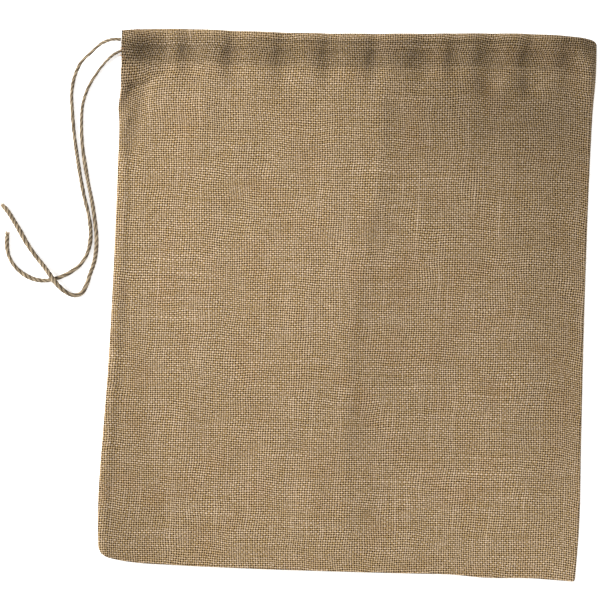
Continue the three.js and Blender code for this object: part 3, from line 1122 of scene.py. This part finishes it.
def follow_the_mouth(piece):
    """Works out where the mouth's far corner falls on the line from the casing's open end to the far
    bottom corner, and bakes the piece's place into its mesh.
    """
    corner = np.array([RIGHT_EDGE(200.0), MOUTH_EDGE(170.0)])
    near = np.array([LEFT_EDGE(190.0), MOUTH_EDGE(-170.0)])
    far = np.array([RIGHT_EDGE(-200.0), BOTTOM_EDGE(170.0)])
    line = unit(far - near)
    foot = near + line * line.dot(corner - near)
    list(foot * MM)
    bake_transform(piece)


def add_layer(name, sheets, material, replaced, flat):
    """A piece of cloth, made of one or more sheets, that takes a CAD piece's place."""
    starts = np.cumsum([0] + [len(vertices) for vertices, _, _ in sheets])
    vertices = np.concatenate([sheet[0] for sheet in sheets])
    faces = np.concatenate([sheet[1] + start for sheet, start in zip(sheets, starts)])
    piece = new_piece(name, vertices, [faces], material, np.concatenate([sheet[2] for sheet in sheets]))
    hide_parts(replaced)
    [size * MM for size in flat]
    follow_the_mouth(piece)
    return piece


def add_cloth(material):
    """The four layers of cloth: front and back, and the hem turned in from each."""
    layers = {}
    for side, front in (("back", False), ("front", True)):
        points, tone = layer_points(front)
        panel = sheet_arrays(points, tone)
        layers[side + "_points"] = points
        layers[side] = add_layer(f"{side}_cloth", [panel], material, f"{side}_panel",
                                 (2 * HALF_WIDTH, MOUTH_Y - BOTTOM_Y))
        hem = sheet_arrays(lining_points(front), HEM_PAINTED_SHADE)
        layers[side + "_hem"] = add_layer(f"{side}_hem_cloth", [hem], material, f"{side}_hem_fold",
                                          (HEM_ENDS[1] - HEM_ENDS[0], HEM_DEPTH))
    return layers


# ---- seams and stitches

SEAM_STITCH_INSET = 3.3
ALLOWANCE_INSETS = (4.5, 12.5)
ALLOWANCE_LOW = 1.25
ALLOWANCE_CLOTH = 0.8
ALLOWANCE_WAVE = 0.08
OVERLOCK_INSET = 13.0
SIDE_SEAM_ENDS = (-187.0, 158.0)
BOTTOM_SEAM_ENDS = (-163.0, 163.0)
THREAD_RADIUS = 0.32
STITCH_PITCH = 3.6
STITCH_PROUD = 0.15
STITCH_SHARES = np.array([0.04, 0.16, 0.3, 0.5, 0.7, 0.84, 0.96])
STITCH_TAPER = np.array([0.6, 0.9, 1, 1, 1, 0.9, 0.6])
SEAM_STITCH_HEIGHT = 1.5
HEM_STITCH_START = -173.0
HEM_STITCH_ENDS = {"front": 156.0, "back": 151.0}

# The overlock's way over, round and under the raw edges, as inset and height; it comes back the same way
OVERLOCK_HALF = [(9.8, 3.0), (11.6, 3.05), (OVERLOCK_INSET, 2.7), (OVERLOCK_INSET + 0.25, 2.0),
                 (OVERLOCK_INSET, 1.3), (11.4, 1.1), (9.8, 1.1)]
OVERLOCK_PITCH = 3.0
OVERLOCK_RADIUS = 0.22
TACK_RADIUS = 0.28
TACK_TURNS = 17


def on_seam(side, along, inset):
    """X and Y at a distance in from the side seam or the bottom seam."""
    along, inset = np.broadcast_arrays(np.asarray(along, float), np.asarray(inset, float))
    if side:
        return LEFT_EDGE(along) + inset, along
    return along, BOTTOM_EDGE(along) + inset


def add_allowance(name, side, ends, material):
    """Both layers' raw edges, folded in beside the seam."""
    along, inset = np.meshgrid(graded(*ends, 3.0), np.linspace(*ALLOWANCE_INSETS, 6), indexing="ij")
    layers = []
    for layer in (0, 1):
        x, y = on_seam(side, along, inset - 0.5 * layer)
        wave = ALLOWANCE_WAVE * FINE(x * 2, y * 2)
        z = ALLOWANCE_LOW + ALLOWANCE_CLOTH * (layer + 0.5) + wave
        layers.append(sheet_arrays(np.stack([x, y, z], axis=2), HEM_PAINTED_SHADE, ALLOWANCE_CLOTH))
    long, wide = ends[1] - ends[0], ALLOWANCE_INSETS[1] - ALLOWANCE_INSETS[0]
    add_layer(f"{name}_seam_edges", layers, material, f"{name}_seam_allowance",
              (long, 2 * wide))


def add_thread_piece(name, threads, material, replaced=None):
    """Sewing thread that takes a CAD piece's place, or loose yarns that belong to the cloth."""
    piece = threads.piece(name, material)
    if replaced:
        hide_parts(replaced)
    follow_the_mouth(piece)


def running_stitches(at, ends, sunk):
    """Separate stitches between two places on a line; at gives the point of the cloth's face there."""
    threads = Threads()
    lift = mix(-sunk, STITCH_PROUD, np.sin(STITCH_SHARES * math.pi) ** 0.5)
    for start in np.arange(ends[0], ends[1] - STITCH_PITCH, STITCH_PITCH):
        path = [at(start + share * STITCH_PITCH) + (0, 0, up) for share, up in zip(STITCH_SHARES, lift)]
        threads.add(path, THREAD_RADIUS * STITCH_TAPER)
    return threads


def face_finder(piece):
    """Gives the height of a piece's upper face, in millimetres, at a place."""
    mesh = piece.data
    tree = BVHTree.FromPolygons([v.co[:] for v in mesh.vertices], [p.vertices[:] for p in mesh.polygons])

    def height(x, y):
        hit = tree.ray_cast((x * MM, y * MM, 0.1), (0, 0, -1))[0]
        return hit.z / MM

    return height


def add_hem_stitches(layers, material):
    """One line of stitches along each hem: on the front's outside, and inside the mouth at the back."""
    for side, piece in (("front", layers["front"]), ("back", layers["back_hem"])):
        height = face_finder(piece)

        def at(along):
            x, y, _ = in_casing(along, STITCH_DOWN, 0)
            return np.array([x, y, height(x, y)])

        threads = running_stitches(at, (HEM_STITCH_START, HEM_STITCH_ENDS[side]), sunk=0.4)
        add_thread_piece(f"{side}_hem_stitches", threads, material, f"{side}_hem_stitching")


def add_seam_threads(name, side, ends, material):
    """The seam's own stitches, and the overlock that zigzags round the raw edges."""

    def at(along):
        x, y = on_seam(side, along, SEAM_STITCH_INSET)
        return np.array([x, y, SEAM_STITCH_HEIGHT])

    add_thread_piece(f"{name}_seam_stitches", running_stitches(at, ends, sunk=0.2),
                     material, f"{name}_seam_stitching")
    zigzag = OVERLOCK_HALF + OVERLOCK_HALF[-2:0:-1]
    overlock = Threads()
    for start in np.arange(ends[0], ends[1] - OVERLOCK_PITCH, OVERLOCK_PITCH):
        path = []
        for i, (inset, z) in enumerate(zigzag):
            x, y = on_seam(side, start + OVERLOCK_PITCH * i / len(zigzag), inset)
            path.append((x, y, z))
        overlock.add(path, OVERLOCK_RADIUS, 5, (0.3, 0.3, 1))
    add_thread_piece(f"{name}_overlock_thread", overlock, material, f"{name}_overlock")


def add_bar_tack(material):
    """Close zigzag stitches that lock the end of the side seam, just below the casing's open end."""
    path = []
    for i in range(TACK_TURNS):
        x, y = on_seam(True, SIDE_SEAM_ENDS[1] + 1.0 + 0.9 * (i % 2), 1.2 + 0.35 * i)
        path.append((x, y, 1.6))
    tack = Threads()
    tack.add(path, TACK_RADIUS)
    add_thread_piece("exit_bar_tack_stitches", tack, material, "exit_bar_tack")


# ---- yarns along the edges, and loose ends

EDGE_YARN_RADIUS = 0.52
EDGE_YARN_PROUD = 0.16
# The part of the cloth's grid that the yarns along each edge cover
MOUTH_PART, FOLD_PART = slice(12, -12), slice(20, -16)
SIDE_PART, FOOT_PART = slice(20, -60), slice(24, -12)
# How many loose ends there are, and where
CASING_YARN_ENDS, CASING_MOUTH_X = 34, -174.5
TUFT_YARN_ENDS, TUFT_X = 9, -168.0
FLUFF_FIBRES, FLUFF_MARGIN, FLUFF_INSET = 700, 14, 0.5


def turned_yarns(points, pitch):
    """Short lengths of yarn that turn over an edge. points runs along the edge, then round it."""
    along = distances(points[:, points.shape[1] // 2])
    normal = grid_normals(points)
    rng = np.random.default_rng(len(along))
    threads = Threads()
    for at in np.arange(pitch, along[-1] - pitch, pitch):
        at = at + rng.uniform(-0.2, 0.2)
        i = min(int(np.searchsorted(along, at)), len(along) - 1)
        share = (at - along[i - 1]) / (along[i] - along[i - 1])
        path = mix(points[i - 1], points[i], share)
        out = unit(mix(normal[i - 1], normal[i], share))
        size = EDGE_YARN_RADIUS * rng.uniform(0.8, 1.2)
        path = path + out * (CLOTH / 2 - size + EDGE_YARN_PROUD)
        taper = np.sin(np.linspace(0.35, math.pi - 0.35, len(path)))
        threads.add(path, size * mix(0.5, 1.0, taper), 6, out[0])
    return threads


def add_edge_yarns(material, points, back_points):
    """Yarns seen edge on where the cloth turns: over the mouth, round the fold, and at both seams."""
    turn = TURNS + 1
    mouth = points[-len(LIP) - 3:].transpose(1, 0, 2)[MOUTH_PART]
    fold = np.concatenate([points[FOLD_PART, -turn:], back_points[FOLD_PART, -1:-turn:-1]], axis=1)
    side = np.concatenate([back_points[SIDE_PART, TURNS - 1::-1], points[SIDE_PART, :turn]], axis=1)
    foot = np.concatenate([back_points[TURNS - 1::-1], points[:turn]]).transpose(1, 0, 2)[FOOT_PART]
    for name, grid, pitch in (
        ("mouth", mouth[::-1], WARP_PITCH), ("fold", fold, WEFT_PITCH),
        ("side", side[::-1], WEFT_PITCH), ("foot", foot, WARP_PITCH),
    ):
        add_thread_piece(f"{name}_edge_yarns", turned_yarns(grid, pitch), material)


def add_loose_ends(material):
    """Cut yarn ends at the casing's open end, a small tuft above it, and fluff along the edges."""
    rng = np.random.default_rng(SEED + 2)
    ends = Threads()
    for _ in range(CASING_YARN_ENDS):
        down = rng.uniform(4, 24)
        base = in_casing(CASING_MOUTH_X, down, rng.uniform(10.6, 14.6))
        strand = hair(rng, base, (-1, rng.uniform(-0.7, 0.7), rng.uniform(-0.4, 0.3)),
                      rng.uniform(2.4, 4.4), 0.35)
        ends.add(strand, rng.uniform(0.12, 0.26) * YARN_END_TAPER, 5)
    for _ in range(TUFT_YARN_ENDS):
        base = (rng.uniform(TUFT_X - 4, TUFT_X + 4), MOUTH_EDGE(TUFT_X) - 0.6, rng.uniform(12.5, 14.2))
        strand = hair(rng, base, (rng.uniform(-0.5, 0.8), 1, rng.uniform(-0.2, 0.3)),
                      rng.uniform(1.0, 2.4), 0.5)
        ends.add(strand, rng.uniform(0.10, 0.2) * YARN_END_TAPER, 5)
    fluff = Threads()
    for _ in range(FLUFF_FIBRES):
        share, edge = rng.uniform(0, 1), rng.integers(0, 4)
        if edge < 2:
            y = mix(BOTTOM_Y + FLUFF_MARGIN, MOUTH_Y - FLUFF_MARGIN, share)
            x = LEFT_EDGE(y) + FLUFF_INSET if edge == 0 else RIGHT_EDGE(y) - FLUFF_INSET
            out, z = (2 * edge - 1, rng.uniform(-1, 1), rng.uniform(-0.3, 0.6)), rng.uniform(1.5, 3.0)
        else:
            x = mix(-HALF_WIDTH + FLUFF_MARGIN, HALF_WIDTH - FLUFF_MARGIN, share)
            y = BOTTOM_EDGE(x) + FLUFF_INSET if edge == 2 else MOUTH_EDGE(x) - FLUFF_INSET
            z = rng.uniform(1.5, 2.8) if edge == 2 else 13.0 + casing_sway(x)
            out = (rng.uniform(-1, 1), 2 * edge - 5, rng.uniform(-0.3, 0.6))
        strand = hair(rng, (x, y, z), out, rng.uniform(0.6, 1.9), 0.6)
        fluff.add(strand, 0.05 * FIBRE_TAPER, 3)
    add_thread_piece("casing_yarn_ends", ends, material)
    add_thread_piece("edge_fluff", fluff, material)


# ---- build

add_camera()
add_lights()
add_table()
CLOTH_LOOK = jute_cloth()
TWINE_LOOK = jute_twine()
THREAD_LOOK = spun_thread("sewing_thread", (0.36, 0.26, 0.15, 1))
FIBRE_LOOK = spun_thread("loose_fibre", (0.47, 0.35, 0.21, 1))
CUT_YARN_LOOK = spun_thread("cut_yarn", (0.52, 0.30, 0.15, 1))
EDGE_LOOK = spun_thread("edge_yarn", (0.42, 0.30, 0.17, 1))
add_cords(TWINE_LOOK, FIBRE_LOOK)
LAYERS = add_cloth(CLOTH_LOOK)
add_hem_stitches(LAYERS, THREAD_LOOK)
for seam, is_side, seam_ends in (("side", True, SIDE_SEAM_ENDS), ("bottom", False, BOTTOM_SEAM_ENDS)):
    add_allowance(seam, is_side, seam_ends, CLOTH_LOOK)
    add_seam_threads(seam, is_side, seam_ends, THREAD_LOOK)
add_bar_tack(THREAD_LOOK)
add_edge_yarns(EDGE_LOOK, LAYERS["front_points"], LAYERS["back_points"])
add_loose_ends(CUT_YARN_LOOK)

bpy.context.scene.view_settings.view_transform = "Standard"
